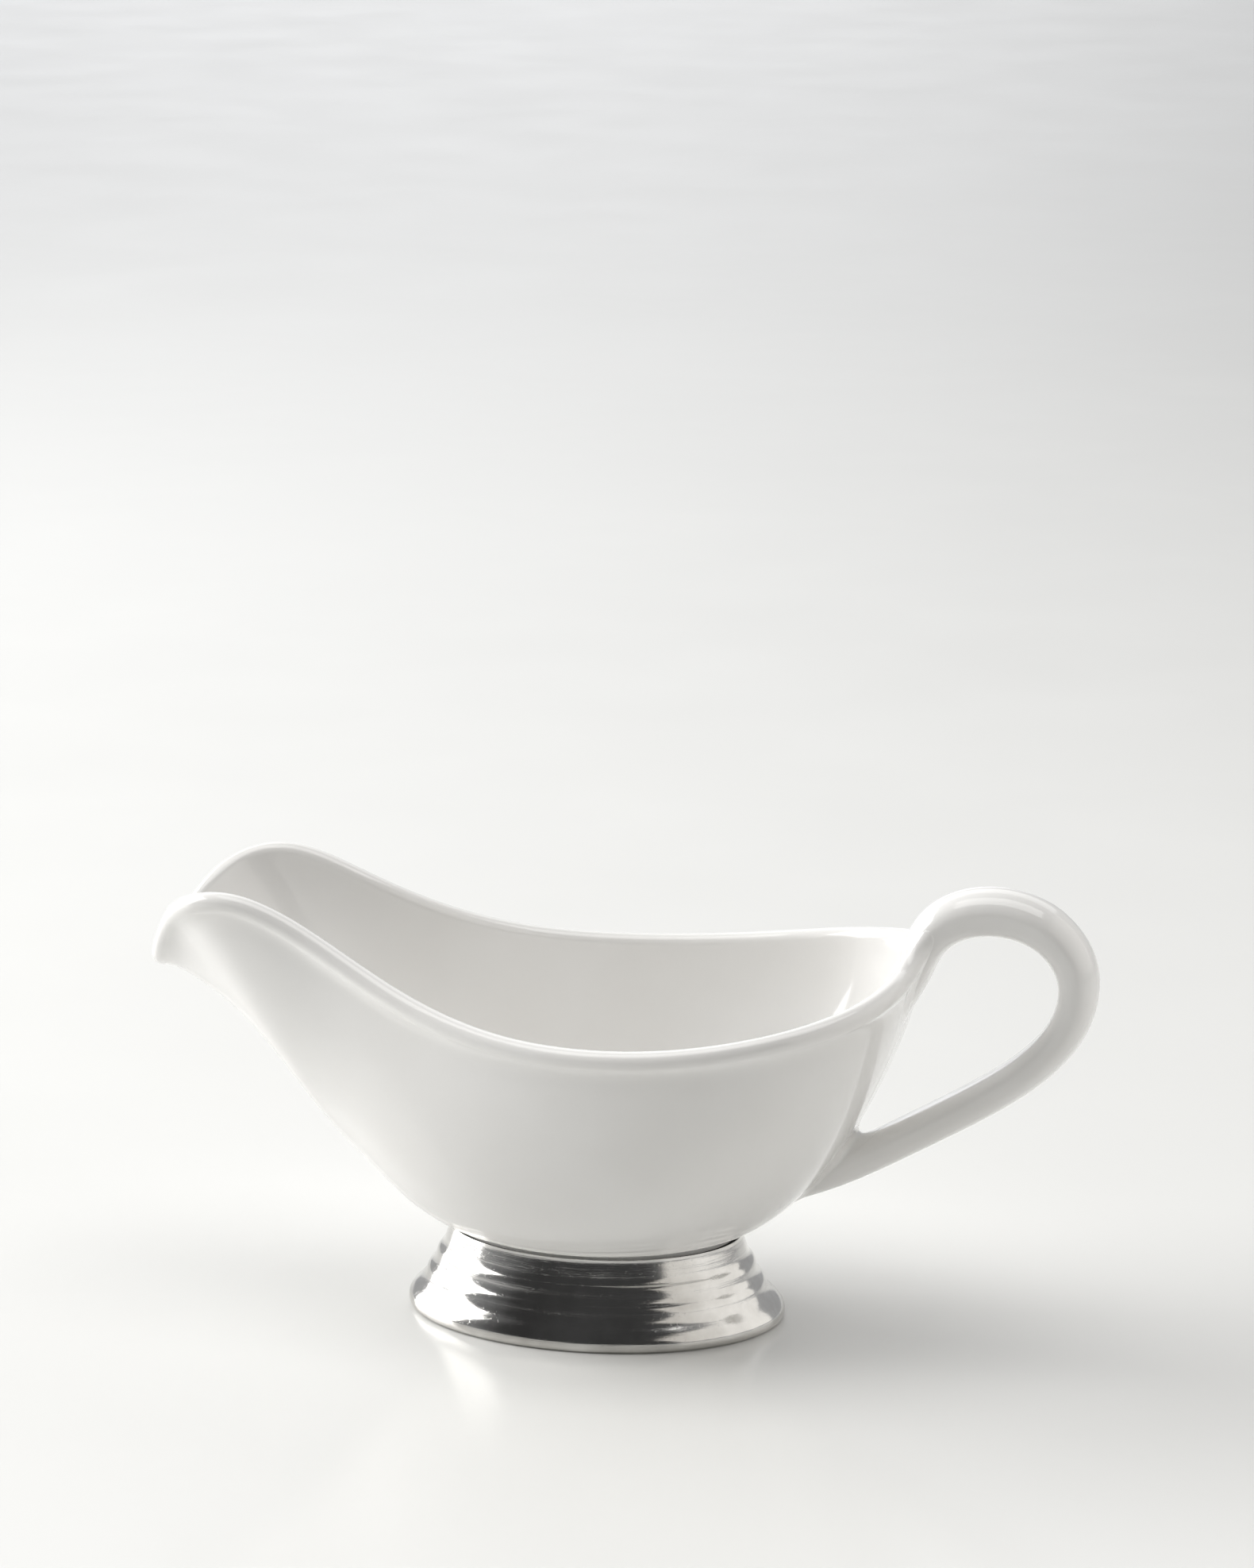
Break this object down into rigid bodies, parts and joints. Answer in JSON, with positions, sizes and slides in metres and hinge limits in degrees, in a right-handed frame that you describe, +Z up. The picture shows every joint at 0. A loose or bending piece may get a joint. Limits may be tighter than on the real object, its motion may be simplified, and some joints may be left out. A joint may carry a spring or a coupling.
{
  "type": "footed gravy boat",
  "caption": "Footed sauce boat: boat-shaped glazed ceramic bowl with a high pouring lip and a looped strap handle, standing on an oval stepped pewter foot.",
  "frame": {"origin": "centre of the flat face under the pewter foot", "axes": "+Z up, +X from the foot's centre towards the handle, -X towards the pouring lip, +Y across the boat"},
  "size_m": [0.2325, 0.1074, 0.1117],
  "materials": {
    "white_glaze": "glossy warm white glaze",
    "pewter": "hand-polished pewter with fine turning marks and small pits",
    "cement": "dark matte adhesive"
  },
  "bodies": {
    "root": {"bowl": "white_glaze", "handle": "white_glaze", "upper_slip": "white_glaze", "lower_slip": "white_glaze", "pewter_foot": "pewter", "cement_ring": "cement"}
  },
  "joints": []
}
